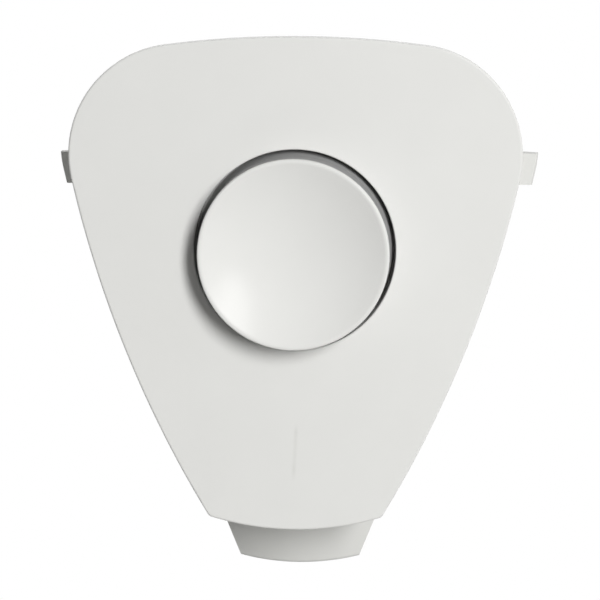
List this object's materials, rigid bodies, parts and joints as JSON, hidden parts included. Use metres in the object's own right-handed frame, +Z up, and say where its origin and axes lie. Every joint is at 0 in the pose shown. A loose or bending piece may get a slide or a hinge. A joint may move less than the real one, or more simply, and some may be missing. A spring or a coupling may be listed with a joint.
{
  "type": "push button cistern actuator",
  "caption": "White shield-shaped cistern actuator: a dished, sprung push button drives a push rod and a bell-crank lift lever; side lugs and a bottom tongue hold it in the cistern.",
  "frame": {"origin": "on the button's axis, in the plane of the rim's back face, which rests on the cistern wall", "axes": "+X to the right seen from the front, +Y from the front to the back, +Z up"},
  "size_m": [0.1124, 0.0901, 0.1286],
  "materials": {
    "white_gloss": "moulded gloss",
    "white_satin": "moulded satin",
    "natural_acetal": "moulded satin",
    "brass": "turned",
    "steel": "drawn wire and bright screws"
  },
  "bodies": {
    "housing": {"cover_plate": "white_gloss", "mounting_frame": "white_satin", "cover_screws": "steel", "pivot_pin": "steel", "pin_clip": "steel", "return_spring": "steel"},
    "button": {"push_button": "white_gloss", "push_rod": "brass", "rod_lock_nut": "brass"},
    "lever": {"lift_lever": "natural_acetal"}
  },
  "joints": [
    {"name": "button_press", "type": "slide", "parent": "housing", "child": "button", "axis": [0, 1, 0], "range_m": [0, 0.007], "stiffness_N_per_m": 600, "springref_m": -0.012, "deforming": ["return_spring"]},
    {"name": "lever_pivot", "type": "hinge", "parent": "housing", "child": "lever", "pos_m": [0, 0.0382, 0.026], "axis": [1, 0, 0], "range_deg": [0, 15.7]}
  ],
  "couplings": [
    {"joint": "lever_pivot", "follows": "button_press", "rad_per_m": 38.94}
  ]
}
